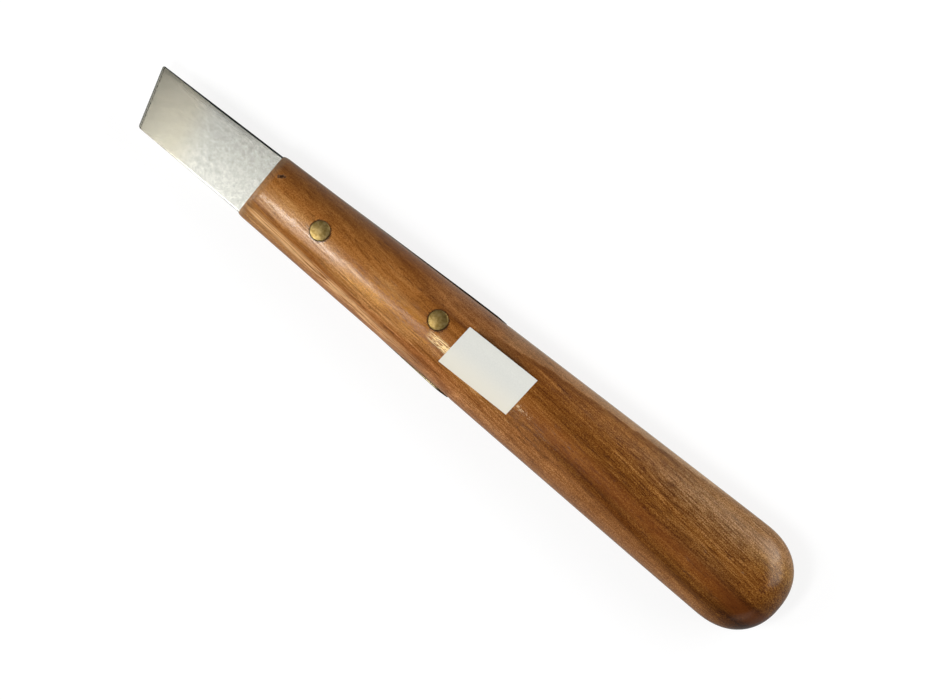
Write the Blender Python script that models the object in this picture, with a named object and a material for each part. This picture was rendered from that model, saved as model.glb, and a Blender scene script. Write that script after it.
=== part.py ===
"""Stab carving knife, lying flat.

A skew-ended steel blade runs back into a full-width tang, which sits in a slot sawn into the front of
a one-piece hardwood handle. Two brass cutlers' rivets, each a tube half and a post half, hold it there.

The pieces are modelled about the knife's own axis: X runs back from the handle's front face, Y points
to the blade's long side, and Z is zero half way through the thickness. The empty named knife then lays
them on the ground, with the origin under the middle of the whole knife. All sizes are in metres.
"""

import math

import bmesh
import bpy

# Handle outline, seen from above
HANDLE_LENGTH = 0.1505
HANDLE_FRONT_WIDTH = 0.0168
HANDLE_GREATEST_WIDTH = 0.0253
HANDLE_SIDE_EASE = 1.12  # 1 gives straight sides, more swells them a little
BUTT_LENGTH = 0.0135  # from the greatest width to the end
BUTT_FULLNESS = 2.25  # 2 gives an elliptical end, more a squarer one

# Handle thickness and section
HANDLE_THICKNESS = 0.016
FRONT_THINNING = 0.0025  # how much thinner the handle is at its front
THINNED_LENGTH = 0.038  # the two faces ease down to the front over this length
BUTT_DROP_LENGTH = 0.0085  # the two faces round over to the end over this length
FLAT_SHARE = 0.05  # of the half width, flat at the middle of each face, for the knife to rest on
SECTION_FULLNESS = 2.06  # 2 gives elliptical sides, more squarer ones
FRONT_EDGE_INSET = 0.0005  # rounding of the front face's rim, inwards
FRONT_EDGE_DEPTH = 0.0015  # and along the handle

# Blade
BLADE_REACH = 0.0335  # from the handle to the point
BLADE_THICKNESS = 0.0016
LONG_EDGE_TAPER = 0.001  # how far the long edge comes in from the handle to the point
SHORT_EDGE_TAPER = 0.0005  # and the short edge, over the same reach
SKEW_ANGLE = math.radians(17.2)  # cutting edge, away from square
GRIND_LENGTH = 0.014  # the two faces are ground thin over this length
HONED_LENGTH = 0.00045  # and the sharpened strip along the edge
HONED_THICKNESS = 0.00042
EDGE_THICKNESS = 0.00006
TIP_CORNER_RADIUS = 0.0004
ARRIS = 0.00018  # dulled long corners

# Tang
TANG_LENGTH = 0.0632
TANG_PROUD = 0.00025  # how far its edges stand out of the wood at its end
TANG_CORNER_RADIUS = 0.0008

# Rivets
FRONT_RIVET_X = 0.0173
FRONT_RIVET_Y = 0.0003
REAR_RIVET_FROM_TANG_END = 0.0128
REAR_RIVET_Y = 0.0015
RIVET_HEAD_RADIUS = 0.00232
RIVET_CROWN = 0.00025  # height of the head's dome
RIVET_RIM = 0.0009  # height of the head's rim
RIVET_POST_RADIUS = 0.001
RIVET_TUBE_WALL = 0.0005
RIVET_POST_TIP_ROOM = 0.0008  # left between the post and the end of the tube's bore
RIVET_TUBE_TIP_ROOM = 0.0012  # left between the tube and the post's head
RIVET_BORE_ROOF = 0.0004  # solid metal between the tube's bore and its head's rim

# Clearances
SLOT_GAP = 0.00015  # between the tang and each wall of the slot
SLOT_END_GAP = 0.0003
HEAD_GAP = 0.0002  # around a rivet's head
SHANK_GAP = 0.00015  # around a rivet's tube and under its head
BORE_GAP = 0.0001  # between a rivet's post and its tube

# Fineness of the round shapes
SECTION_STEPS = 9  # along each quarter of the handle's section
FRONT_EDGE_STEPS = 4
THINNED_STEPS = 7
STRAIGHT_STEPS = 9
BUTT_STEPS = 14
CORNER_STEPS = 4
TANG_STEPS = 8
RIVET_SIDES = 32
CROWN_STEPS = 5

CUTTER_MARGIN = 0.002  # how far a cutter reaches past what it cuts

WIDEST_AT = HANDLE_LENGTH - BUTT_LENGTH
REAR_RIVET_X = TANG_LENGTH - REAR_RIVET_FROM_TANG_END
RIVET_BORE_RADIUS = RIVET_POST_RADIUS + BORE_GAP
RIVET_TUBE_RADIUS = RIVET_BORE_RADIUS + RIVET_TUBE_WALL


def rounded_off(share, fullness):
    """Falls from 1 to 0 along a rounded quarter as share goes from 0 to 1."""
    share = min(max(share, 0.0), 1.0)
    return (1.0 - share**fullness) ** (1.0 / fullness)


def front_edge_inset(x):
    return FRONT_EDGE_INSET * (1.0 - rounded_off(1.0 - x / FRONT_EDGE_DEPTH, 2.0))


def handle_half_width(x):
    if x > WIDEST_AT:
        return HANDLE_GREATEST_WIDTH / 2 * rounded_off((x - WIDEST_AT) / BUTT_LENGTH, BUTT_FULLNESS)
    swell = 1.0 - (1.0 - x / WIDEST_AT) ** HANDLE_SIDE_EASE
    width = HANDLE_FRONT_WIDTH + (HANDLE_GREATEST_WIDTH - HANDLE_FRONT_WIDTH) * swell
    return width / 2 - front_edge_inset(x)


def handle_half_thickness(x):
    risen = math.sin(min(x / THINNED_LENGTH, 1.0) * math.pi / 2)
    thickness = HANDLE_THICKNESS - FRONT_THINNING * (1.0 - risen)
    into_butt = (x - HANDLE_LENGTH + BUTT_DROP_LENGTH) / BUTT_DROP_LENGTH
    return thickness / 2 * rounded_off(into_butt, SECTION_FULLNESS) - front_edge_inset(x)


def tang_half_width(x):
    """The tang is dressed to the handle's own outline, and stands a little proud towards its end."""
    return handle_half_width(x) + TANG_PROUD * x / TANG_LENGTH


def side_rounding(x):
    """How far across each side of the handle's section rounds over, outside the flat."""
    return (1.0 - FLAT_SHARE) * handle_half_width(x)


def handle_top(x, y):
    """Height of the handle's upper face above the middle."""
    rounding = side_rounding(x)
    past_flat = abs(y) - handle_half_width(x) + rounding
    return handle_half_thickness(x) * rounded_off(past_flat / rounding, SECTION_FULLNESS)


def handle_section(x):
    """An oval with a narrow flat above and below, as points around the axis."""
    half_width = handle_half_width(x)
    half_thickness = handle_half_thickness(x)
    quarter = []
    for angle in quarter_turns(SECTION_STEPS):
        out = max(math.cos(angle), 0.0) ** (2 / SECTION_FULLNESS)
        up = math.sin(angle) ** (2 / SECTION_FULLNESS)
        quarter.append((half_width - side_rounding(x) * (1.0 - out), half_thickness * up))
    top = [(x, y, z) for y, z in quarter] + [(x, -y, z) for y, z in reversed(quarter)]
    bottom = [(x, -y, -z) for y, z in quarter[1:]] + [(x, y, -z) for y, z in reversed(quarter[1:])]
    return top + bottom


def evenly(start, end, steps):
    """Places from start to end, leaving out the end itself."""
    return [start + (end - start) * step / steps for step in range(steps)]


def quarter_turns(steps):
    """Angles from zero to a quarter turn, both included."""
    return [math.pi / 2 * step / steps for step in range(steps + 1)]


def handle_stations():
    stations = [FRONT_EDGE_DEPTH * (1.0 - math.cos(angle)) for angle in quarter_turns(FRONT_EDGE_STEPS)[:-1]]
    stations += evenly(FRONT_EDGE_DEPTH, THINNED_LENGTH, THINNED_STEPS)
    stations += evenly(THINNED_LENGTH, WIDEST_AT, STRAIGHT_STEPS)
    for angle in quarter_turns(BUTT_STEPS)[:-1]:
        stations.append(WIDEST_AT + BUTT_LENGTH * math.sin(angle) ** (2 / BUTT_FULLNESS))
    return stations


def corner_inset(from_end, radius):
    """How far a rounded corner brings the side in, this far from the end of the steel."""
    return radius * (1.0 - rounded_off(1.0 - from_end / radius, 2.0))


def blade_section(x, skew, half_widths, half_thickness):
    """A bar section with dulled corners, whose line across the blade may be skewed."""
    arris = min(ARRIS, half_thickness / 2)
    section = []
    for side, half_width in zip((1, -1), half_widths):
        upright = half_thickness - arris
        corners = [(half_width, -upright), (half_width, upright), (half_width - arris, half_thickness)]
        corners.insert(0, (half_width - arris, -half_thickness))
        section += [(side * out, up) for out, up in corners[::side]]
    return [(x - y * math.tan(skew), y, z) for y, z in section]


def ground_half_thickness(behind_edge):
    if behind_edge < HONED_LENGTH:
        thickness = EDGE_THICKNESS + (HONED_THICKNESS - EDGE_THICKNESS) * behind_edge / HONED_LENGTH
    else:
        ground = (behind_edge - HONED_LENGTH) / (GRIND_LENGTH - HONED_LENGTH)
        thickness = HONED_THICKNESS + (BLADE_THICKNESS - HONED_THICKNESS) * min(ground, 1.0)
    return thickness / 2


def ground_section(behind_edge):
    """The blade's section along a line parallel to the cutting edge."""
    lean = math.tan(SKEW_ANGLE)
    root = handle_half_width(0.0)
    x = (root - LONG_EDGE_TAPER) * lean - BLADE_REACH + behind_edge / math.cos(SKEW_ANGLE)
    long_slope = LONG_EDGE_TAPER / BLADE_REACH
    short_slope = SHORT_EDGE_TAPER / BLADE_REACH
    inset = corner_inset(behind_edge, TIP_CORNER_RADIUS)
    half_widths = (
        (root + long_slope * x) / (1.0 + long_slope * lean) - inset,
        (root + short_slope * x) / (1.0 - short_slope * lean) - inset,
    )
    return blade_section(x, SKEW_ANGLE, half_widths, ground_half_thickness(behind_edge))


def tang_section(x):
    half_width = tang_half_width(x) - corner_inset(TANG_LENGTH - x, TANG_CORNER_RADIUS)
    return blade_section(x, 0.0, (half_width, half_width), BLADE_THICKNESS / 2)


def blade_sections():
    """From the cutting edge back to the end of the tang."""
    behind_edge = [TIP_CORNER_RADIUS * (1.0 - math.cos(angle)) for angle in quarter_turns(CORNER_STEPS)]
    behind_edge = sorted(behind_edge + [HONED_LENGTH, GRIND_LENGTH])
    stations = [FRONT_EDGE_DEPTH * (1.0 - math.cos(angle)) for angle in quarter_turns(FRONT_EDGE_STEPS)[:-1]]
    stations += evenly(FRONT_EDGE_DEPTH, TANG_LENGTH - TANG_CORNER_RADIUS, TANG_STEPS)
    for angle in quarter_turns(CORNER_STEPS):
        stations.append(TANG_LENGTH - TANG_CORNER_RADIUS * (1.0 - math.sin(angle)))
    return [ground_section(distance) for distance in behind_edge] + [tang_section(x) for x in stations]


def finish(name, colour, roughness, metallic):
    material = bpy.data.materials.new(name)
    material.use_nodes = True
    shader = material.node_tree.nodes["Principled BSDF"]
    shader.inputs["Base Color"].default_value = (*colour, 1.0)
    shader.inputs["Roughness"].default_value = roughness
    shader.inputs["Metallic"].default_value = metallic
    return material


def add_object(name, shape, parent, smooth):
    bmesh.ops.recalc_face_normals(shape, faces=shape.faces)
    for face in shape.faces:
        face.smooth = smooth
    mesh = bpy.data.meshes.new(name)
    shape.to_mesh(mesh)
    shape.free()
    made = bpy.data.objects.new(name, mesh)
    made.parent = parent
    bpy.context.scene.collection.objects.link(made)
    return made


def loft(sections, end_point=None):
    """A skin over sections of equal point count, closed flat at the start and flat or to a point at the end."""
    shape = bmesh.new()
    rings = [[shape.verts.new(point) for point in section] for section in sections]
    for ring, following in zip(rings, rings[1:]):
        for corner in range(len(ring)):
            shape.faces.new((ring[corner - 1], ring[corner], following[corner], following[corner - 1]))
    shape.faces.new(rings[0])
    if end_point is None:
        shape.faces.new(rings[-1])
    else:
        tip = shape.verts.new(end_point)
        for corner in range(len(rings[-1])):
            shape.faces.new((rings[-1][corner - 1], rings[-1][corner], tip))
    return shape


def revolve(profile, x, y):
    """A body turned about an upright axis from (radius, height) points that start and end on it."""
    shape = bmesh.new()
    points = [shape.verts.new((x + radius, y, height)) for radius, height in profile]
    edges = [shape.edges.new(pair) for pair in zip(points, points[1:])]
    bmesh.ops.spin(
        shape,
        geom=points + edges,
        cent=(x, y, 0.0),
        axis=(0.0, 0.0, 1.0),
        angle=2 * math.pi,
        steps=RIVET_SIDES,
        use_merge=True,
    )
    bmesh.ops.remove_doubles(shape, verts=shape.verts, dist=1e-7)
    return shape


def make_cutter(name, shape, parent):
    cutter = add_object(name, shape, parent, smooth=False)
    cutter.hide_render = True
    cutter.display_type = "WIRE"
    return cutter


def cut(piece, cutter):
    boolean = piece.modifiers.new(cutter.name, "BOOLEAN")
    boolean.operation = "DIFFERENCE"
    boolean.solver = "EXACT"
    boolean.object = cutter


def slot_cutter(parent):
    length = TANG_LENGTH + SLOT_END_GAP + CUTTER_MARGIN
    shape = bmesh.new()
    bmesh.ops.create_cube(shape, size=1.0)
    bmesh.ops.scale(
        shape,
        verts=shape.verts,
        vec=(length, HANDLE_GREATEST_WIDTH + 2 * CUTTER_MARGIN, BLADE_THICKNESS + 2 * SLOT_GAP),
    )
    bmesh.ops.translate(shape, verts=shape.verts, vec=(length / 2 - CUTTER_MARGIN, 0.0, 0.0))
    return make_cutter("slot_cutter", shape, parent)


def head_seat(x, y):
    """Height of the shoulder that a rivet's head sits over, above and below the middle."""
    return handle_top(x, y) - RIVET_CROWN - RIVET_RIM


def rivet_cutter(name, x, y, parent):
    """One stepped hole, through both sides of the handle and the tang."""
    hole = RIVET_TUBE_RADIUS + SHANK_GAP
    recess = RIVET_HEAD_RADIUS + HEAD_GAP
    floor = head_seat(x, y) - SHANK_GAP
    outside = handle_half_thickness(x) + CUTTER_MARGIN
    upper = [(0.0, outside), (recess, outside), (recess, floor), (hole, floor)]
    lower = [(radius, -height) for radius, height in reversed(upper)]
    return make_cutter(name, revolve(upper + lower, x, y), parent)


def head_profile(x, y):
    """From the top of the dome, which is level with the wood, to the under edge of the rim."""
    dome_radius = (RIVET_HEAD_RADIUS**2 + RIVET_CROWN**2) / (2 * RIVET_CROWN)
    dome_angle = math.asin(RIVET_HEAD_RADIUS / dome_radius)
    profile = []
    for step in range(CROWN_STEPS + 1):
        angle = dome_angle * step / CROWN_STEPS
        profile.append((dome_radius * math.sin(angle), handle_top(x, y) - dome_radius * (1.0 - math.cos(angle))))
    profile.append((RIVET_HEAD_RADIUS, head_seat(x, y)))
    return profile


def rivet_tube(x, y):
    """The upper half: a head on a tube that is open at its lower end."""
    seat = head_seat(x, y)
    roof = seat - RIVET_BORE_ROOF
    mouth = RIVET_TUBE_TIP_ROOM - seat
    shank = [(RIVET_TUBE_RADIUS, seat), (RIVET_TUBE_RADIUS, mouth)]
    return head_profile(x, y) + shank + [(RIVET_BORE_RADIUS, mouth), (RIVET_BORE_RADIUS, roof), (0.0, roof)]


def rivet_post(x, y):
    """The lower half: a head on a solid post that fills the tube."""
    seat = head_seat(x, y)
    tip = seat - RIVET_BORE_ROOF - RIVET_POST_TIP_ROOM
    head = [(radius, -height) for radius, height in head_profile(x, y)]
    return head + [(RIVET_POST_RADIUS, -seat), (RIVET_POST_RADIUS, tip), (0.0, tip)]


def clear_scene():
    for old in list(bpy.data.objects):
        bpy.data.objects.remove(old, do_unlink=True)


def build_knife():
    steel = finish("ground_steel", (0.55, 0.54, 0.47), 0.34, 1.0)
    wood = finish("lacquered_hardwood", (0.24, 0.095, 0.028), 0.42, 0.0)
    brass = finish("sanded_brass", (0.46, 0.33, 0.12), 0.36, 1.0)
    sections = blade_sections()
    foremost = min(x for x, _, _ in sections[0])

    knife = bpy.data.objects.new("knife", None)
    knife.location = (-(foremost + HANDLE_LENGTH) / 2, 0.0, HANDLE_THICKNESS / 2)
    bpy.context.scene.collection.objects.link(knife)

    blade = add_object("blade", loft(sections), knife, smooth=False)
    blade.data.materials.append(steel)
    grain = [handle_section(x) for x in handle_stations()]
    handle = add_object("handle", loft(grain, (HANDLE_LENGTH, 0.0, 0.0)), knife, smooth=True)
    handle.data.materials.append(wood)
    cut(handle, slot_cutter(knife))

    rivets = (("front_rivet", FRONT_RIVET_X, FRONT_RIVET_Y), ("rear_rivet", REAR_RIVET_X, REAR_RIVET_Y))
    for name, x, y in rivets:
        hole = rivet_cutter(name + "_cutter", x, y, knife)
        cut(handle, hole)
        cut(blade, hole)
        for half, profile in (("_tube", rivet_tube(x, y)), ("_post", rivet_post(x, y))):
            rivet = add_object(name + half, revolve(profile, x, y), knife, smooth=True)
            rivet.data.materials.append(brass)


clear_scene()
build_knife()
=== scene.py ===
"""Looks of the stab carving knife: its steel, hardwood, brass and paper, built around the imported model.

The pieces are shaped about the knife's own axis. Back is the distance behind the handle's front face,
across is towards the blade's long edge, and up is the height above the middle of the thickness.
"""

import math

import bmesh
import bpy
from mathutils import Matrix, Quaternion, Vector


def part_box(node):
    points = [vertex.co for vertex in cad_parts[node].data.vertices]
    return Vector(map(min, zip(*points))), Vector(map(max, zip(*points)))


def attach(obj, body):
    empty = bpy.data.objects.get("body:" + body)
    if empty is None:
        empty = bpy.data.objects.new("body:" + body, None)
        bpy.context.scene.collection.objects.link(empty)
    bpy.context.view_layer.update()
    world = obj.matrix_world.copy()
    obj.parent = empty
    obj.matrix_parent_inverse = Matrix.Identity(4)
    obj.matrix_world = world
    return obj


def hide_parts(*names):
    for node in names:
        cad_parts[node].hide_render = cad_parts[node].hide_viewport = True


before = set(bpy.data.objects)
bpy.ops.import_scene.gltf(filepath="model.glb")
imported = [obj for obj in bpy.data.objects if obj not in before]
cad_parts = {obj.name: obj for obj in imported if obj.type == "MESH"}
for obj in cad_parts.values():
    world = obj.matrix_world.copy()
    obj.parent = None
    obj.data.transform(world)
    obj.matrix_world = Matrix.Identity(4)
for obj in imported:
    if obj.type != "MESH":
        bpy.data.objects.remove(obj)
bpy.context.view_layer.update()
handle_low, handle_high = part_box("handle")
blade_low, blade_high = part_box("blade")

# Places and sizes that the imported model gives
HANDLE_FRONT = handle_low.x
HANDLE_LENGTH = handle_high.x - handle_low.x
HANDLE_GREATEST_WIDTH = handle_high.y - handle_low.y
HANDLE_THICKNESS = handle_high.z - handle_low.z
MIDDLE_HEIGHT = (handle_low.z + handle_high.z) / 2
BLADE_THICKNESS = blade_high.z - blade_low.z
TANG_LENGTH = blade_high.x - HANDLE_FRONT

# Handle shape, in metres
HANDLE_FRONT_WIDTH = 0.0168
HANDLE_SIDE_EASE = 1.12
BUTT_LENGTH = 0.0135
BUTT_FULLNESS = 2.25
FRONT_THINNING = 0.0025
THINNED_LENGTH = 0.038
BUTT_DROP_LENGTH = 0.0085
SECTION_FULLNESS = 2.06
FRONT_SET_BACK = 0.00035
FRONT_EDGE_INSET = 0.0005
FRONT_EDGE_DEPTH = 0.0015
WIDEST_AT = HANDLE_LENGTH - BUTT_LENGTH

# Blade shape
BLADE_REACH = 0.0335
LONG_EDGE_TAPER = 0.001
SHORT_EDGE_TAPER = 0.0005
SKEW_ANGLE = math.radians(17.2)
GRIND_LENGTH = 0.0165
SHOULDER_EASE = 1.7
HONED_LENGTH = 0.00045
HONED_THICKNESS = 0.00042
EDGE_THICKNESS = 0.00006
TIP_CORNER_RADIUS = 0.0006
ARRIS = 0.0003
TANG_SUNK = 0.0001
TANG_END_DRAWN_IN = 0.0008
TANG_CORNER_RADIUS = 0.0004
LONG_SIDE_PROUD_FROM = 0.01
LONG_SIDE_PROUD = 0.00026
SHORT_SIDE_PROUD_FROM = 0.04
SHORT_SIDE_PROUD = 0.00036
PROUD_GAINED_OVER = 0.8  # of the length from there to the tang's end

# Rivets
FRONT_RIVET_BACK = 0.0173
FRONT_RIVET_ACROSS = 0.0003
REAR_RIVET_FROM_TANG_END = 0.0128
REAR_RIVET_BACK = TANG_LENGTH - REAR_RIVET_FROM_TANG_END
REAR_RIVET_ACROSS = 0.0015
RIVET_HEAD_RADIUS = 0.00232
RIVET_CROWN = 0.0002
RIVET_RIM = 0.0009
RIVET_RIM_ROUNDING = 0.00016
RIVET_TUBE_RADIUS = 0.0016
RIVET_BORE_RADIUS = 0.0011
RIVET_BORE_ROOF = 0.0004
RIVET_POST_RADIUS = 0.001
RIVET_POST_TIP_ROOM = 0.0008
RIVET_TUBE_TIP_ROOM = 0.0012

# Clearances
SLOT_GAP = 0.0001
SLOT_END_GAP = 0.0003
HEAD_GAP = 0.0001
SHANK_GAP = 0.00015

# Paper sticker
STICKER_BACK = 0.0662
STICKER_ACROSS = -0.00022
STICKER_LENGTH = 0.0193
STICKER_WIDTH = 0.0104
STICKER_THICKNESS = 0.00011
STICKER_LIFT = 0.00003
STICKER_TURN = math.radians(0.8)
STICKER_SHEAR = 0.078
STICKER_CURL = 0.00035
STICKER_CURL_WIDTH = 0.0022

# Floor
FLOOR_HALF_SIDE = 4.0

# Slant of the wood's grain from the handle's axis
GRAIN_ANGLE = math.radians(5.0)

# Fineness of the shapes, and the angle in degrees past which their faces meet in a crease
HANDLE_SEGMENTS = 112
FRONT_EDGE_STEPS = 8
THINNED_STEPS = 28
SIDE_STEPS = 48
BUTT_STEPS = 40
BLADE_SEGMENTS = 24
TIP_STEPS = 5
GRIND_STEPS = 10
FIRST_GRIND_SHARE = 0.02  # a station just behind the honed strip, which keeps its corner crisp
TANG_STEPS = 24
TANG_END_STEPS = 6
RIVET_SIDES = 72
DOME_STEPS = 12
RIM_STEPS = 5
STICKER_STEPS = (48, 32)
FLOOR_STEPS = 8
ROUND_CREASE = 40.0
BLADE_CREASE = 12.0

# Photograph's frame: the knife's slant, its scale and its place
FRAME_WIDTH = 933
METRES_PER_PIXEL = 0.00022425
KNIFE_SLANT = math.radians(39.2)
AIM_BACK_OF_MIDDLE = 0.00099
AIM_ACROSS = 0.00036
LENS = 500.0
SENSOR = 36.0


def rounded_off(share, fullness):
    """Falls from 1 to 0 along a rounded quarter as share goes from 0 to 1."""
    share = min(max(share, 0.0), 1.0)
    return (1.0 - share**fullness) ** (1.0 / fullness)


def front_edge_inset(back):
    return FRONT_EDGE_INSET * (1.0 - rounded_off(1.0 - (back - FRONT_SET_BACK) / FRONT_EDGE_DEPTH, 2.0))


def handle_half_width(back):
    if back > WIDEST_AT:
        return HANDLE_GREATEST_WIDTH / 2 * rounded_off((back - WIDEST_AT) / BUTT_LENGTH, BUTT_FULLNESS)
    swell = 1.0 - (1.0 - back / WIDEST_AT) ** HANDLE_SIDE_EASE
    width = HANDLE_FRONT_WIDTH + (HANDLE_GREATEST_WIDTH - HANDLE_FRONT_WIDTH) * swell
    return width / 2 - front_edge_inset(back)


def handle_half_thickness(back):
    risen = math.sin(min(back / THINNED_LENGTH, 1.0) * math.pi / 2)
    thickness = HANDLE_THICKNESS - FRONT_THINNING * (1.0 - risen)
    into_butt = (back - HANDLE_LENGTH + BUTT_DROP_LENGTH) / BUTT_DROP_LENGTH
    return thickness / 2 * rounded_off(into_butt, SECTION_FULLNESS) - front_edge_inset(back)


def handle_top(back, across):
    """Height of the handle's upper face above the middle."""
    share = abs(across) / handle_half_width(back)
    return handle_half_thickness(back) * rounded_off(share, SECTION_FULLNESS)


def knife_point(back, across, up):
    return Vector((HANDLE_FRONT + back, across, MIDDLE_HEIGHT + up))


def sign(number):
    return (number > 0) - (number < 0)


def handle_skin(back, turn):
    """A point of the handle's oval section."""
    out = handle_half_width(back) * abs(math.cos(turn)) ** (2 / SECTION_FULLNESS)
    up = handle_half_thickness(back) * abs(math.sin(turn)) ** (2 / SECTION_FULLNESS)
    return knife_point(back, sign(round(math.cos(turn), 6)) * out, sign(round(math.sin(turn), 6)) * up)


def evenly(start, end, steps):
    """Places from start up to, but not at, the end."""
    return [start + (end - start) * step / steps for step in range(steps)]


def front_edge_stations(steps):
    """Places along the rounded front edge, crowded towards its front."""
    return [FRONT_SET_BACK + FRONT_EDGE_DEPTH * (step / steps) ** 2 for step in range(steps)]


def handle_stations():
    stations = front_edge_stations(FRONT_EDGE_STEPS)
    stations += evenly(FRONT_SET_BACK + FRONT_EDGE_DEPTH, THINNED_LENGTH, THINNED_STEPS)
    stations += evenly(THINNED_LENGTH, WIDEST_AT, SIDE_STEPS)
    for step in range(BUTT_STEPS):
        into_butt = math.sin(math.pi / 2 * step / BUTT_STEPS) ** (2 / BUTT_FULLNESS)
        stations.append(WIDEST_AT + BUTT_LENGTH * into_butt)
    return stations


def drawn_out(stations, segments, place):
    """A skin grown from one ring of points, which is extruded from each station to the next."""
    shape = bmesh.new()
    turn = shape.verts.layers.float.new("turn")
    bmesh.ops.create_circle(shape, segments=segments, radius=1.0, cap_ends=False)
    for corner in shape.verts:
        corner[turn] = math.atan2(corner.co.y, corner.co.x) + math.pi / segments
    ring = list(shape.verts)
    rim = list(shape.edges)
    for number, station in enumerate(stations):
        if number:
            grown = bmesh.ops.extrude_edge_only(shape, edges=rim)["geom"]
            ring = [part for part in grown if isinstance(part, bmesh.types.BMVert)]
            rim = [part for part in grown if isinstance(part, bmesh.types.BMEdge) and part.is_boundary]
        for corner in ring:
            corner.co = place(station, corner[turn])
    return shape, ring


def new_piece(name, shape, finish=None):
    bmesh.ops.recalc_face_normals(shape, faces=shape.faces)
    mesh = bpy.data.meshes.new(name)
    shape.to_mesh(mesh)
    shape.free()
    piece = bpy.data.objects.new(name, mesh)
    bpy.context.scene.collection.objects.link(piece)
    if finish is not None:
        mesh.materials.append(finish)
    return piece


def carve(piece, cutters):
    """Cuts the cutters out of the piece and removes them."""
    for cutter in cutters:
        boolean = piece.modifiers.new(cutter.name, "BOOLEAN")
        boolean.operation = "DIFFERENCE"
        boolean.solver = "EXACT"
        boolean.object = cutter
    evaluated = piece.evaluated_get(bpy.context.evaluated_depsgraph_get())
    carved = bpy.data.meshes.new_from_object(evaluated)
    piece.modifiers.clear()
    piece.data = carved
    for cutter in cutters:
        bpy.data.objects.remove(cutter)


def shade(piece, crease):
    """Smooth faces, with a crease wherever they meet at more than so many degrees."""
    piece.data.shade_smooth()
    piece.data.set_sharp_from_angle(angle=math.radians(crease))


def settle(piece, crease, node):
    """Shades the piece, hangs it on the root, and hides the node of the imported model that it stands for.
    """
    shade(piece, crease)
    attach(piece, "root")
    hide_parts(node)


def turned(profile, back, across):
    """A body turned about an upright axis from (radius, up) points that start and end on it."""
    shape = bmesh.new()
    points = [shape.verts.new(knife_point(back + radius, across, up)) for radius, up in profile]
    edges = [shape.edges.new(pair) for pair in zip(points, points[1:])]
    bmesh.ops.spin(
        shape,
        geom=points + edges,
        cent=knife_point(back, across, 0.0),
        axis=(0.0, 0.0, 1.0),
        angle=2 * math.pi,
        steps=RIVET_SIDES,
        use_merge=True,
    )
    bmesh.ops.remove_doubles(shape, verts=shape.verts, dist=1e-7)
    return shape


def head_seat(back, across):
    return handle_top(back, across) - RIVET_CROWN - RIVET_RIM


def rivet_hole(back, across):
    hole = RIVET_TUBE_RADIUS + SHANK_GAP
    recess = RIVET_HEAD_RADIUS + HEAD_GAP
    floor = head_seat(back, across) - SHANK_GAP
    outside = HANDLE_THICKNESS
    upper = [(0.0, outside), (recess, outside), (recess, floor), (hole, floor)]
    lower = [(radius, -up) for radius, up in reversed(upper)]
    return new_piece("rivet_hole", turned(upper + lower, back, across))


def slot_in_handle():
    length = TANG_LENGTH + SLOT_END_GAP + FRONT_EDGE_DEPTH
    shape = bmesh.new()
    bmesh.ops.create_cube(shape, size=1.0)
    size = (length, 2 * HANDLE_GREATEST_WIDTH, BLADE_THICKNESS + 2 * SLOT_GAP)
    bmesh.ops.scale(shape, verts=shape.verts, vec=size)
    centre = knife_point(length / 2 - FRONT_EDGE_DEPTH, 0.0, 0.0)
    bmesh.ops.translate(shape, verts=shape.verts, vec=centre)
    return new_piece("slot", shape)


RIVETS = (
    ("front_rivet", FRONT_RIVET_BACK, FRONT_RIVET_ACROSS),
    ("rear_rivet", REAR_RIVET_BACK, REAR_RIVET_ACROSS),
)


def make_handle(finish):
    shape, end_ring = drawn_out(handle_stations(), HANDLE_SEGMENTS, handle_skin)
    bmesh.ops.pointmerge(shape, verts=end_ring, merge_co=knife_point(HANDLE_LENGTH, 0.0, 0.0))
    bmesh.ops.holes_fill(shape, edges=[edge for edge in shape.edges if edge.is_boundary], sides=0)
    handle = new_piece("wooden_handle", shape, finish)
    carve(handle, [slot_in_handle()] + [rivet_hole(back, across) for _, back, across in RIVETS])
    settle(handle, ROUND_CREASE, "handle")


def ground_half_thickness(behind_edge):
    if behind_edge < HONED_LENGTH:
        thickness = EDGE_THICKNESS + (HONED_THICKNESS - EDGE_THICKNESS) * behind_edge / HONED_LENGTH
    else:
        ground = min((behind_edge - HONED_LENGTH) / (GRIND_LENGTH - HONED_LENGTH), 1.0)
        ground = 1.0 - (1.0 - ground) ** SHOULDER_EASE
        thickness = HONED_THICKNESS + (BLADE_THICKNESS - HONED_THICKNESS) * ground
    return thickness / 2


def corner_inset(from_end, radius):
    return radius * (1.0 - rounded_off(1.0 - from_end / radius, 2.0))


def ground_station(behind_edge):
    """Back, lean, half widths and half thickness of the blade on a line along its cutting edge."""
    lean = math.tan(SKEW_ANGLE)
    root = handle_half_width(0.0)
    back = (root - LONG_EDGE_TAPER) * lean - BLADE_REACH + behind_edge / math.cos(SKEW_ANGLE)
    long_slope = LONG_EDGE_TAPER / BLADE_REACH
    short_slope = SHORT_EDGE_TAPER / BLADE_REACH
    inset = corner_inset(behind_edge, TIP_CORNER_RADIUS)
    long_half = (root + long_slope * back) / (1.0 + long_slope * lean) - inset
    short_half = (root + short_slope * back) / (1.0 - short_slope * lean) - inset
    return back, lean, long_half, short_half, ground_half_thickness(behind_edge)


def tang_edge(back, proud_from, proud):
    """Half width of the tang on one side: sunk, then proud of the wood, and drawn in at its end."""
    to_end = TANG_LENGTH - back
    gained_over = PROUD_GAINED_OVER * (TANG_LENGTH - proud_from)
    share = min(max(back - proud_from, 0.0) / gained_over, 1.0)
    share *= min(to_end / TANG_END_DRAWN_IN, 1.0)
    sunk = TANG_SUNK * min(back / FRONT_EDGE_DEPTH, 1.0) * (1.0 - share)
    return handle_half_width(back) - sunk + proud * share - corner_inset(to_end, TANG_CORNER_RADIUS)


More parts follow.
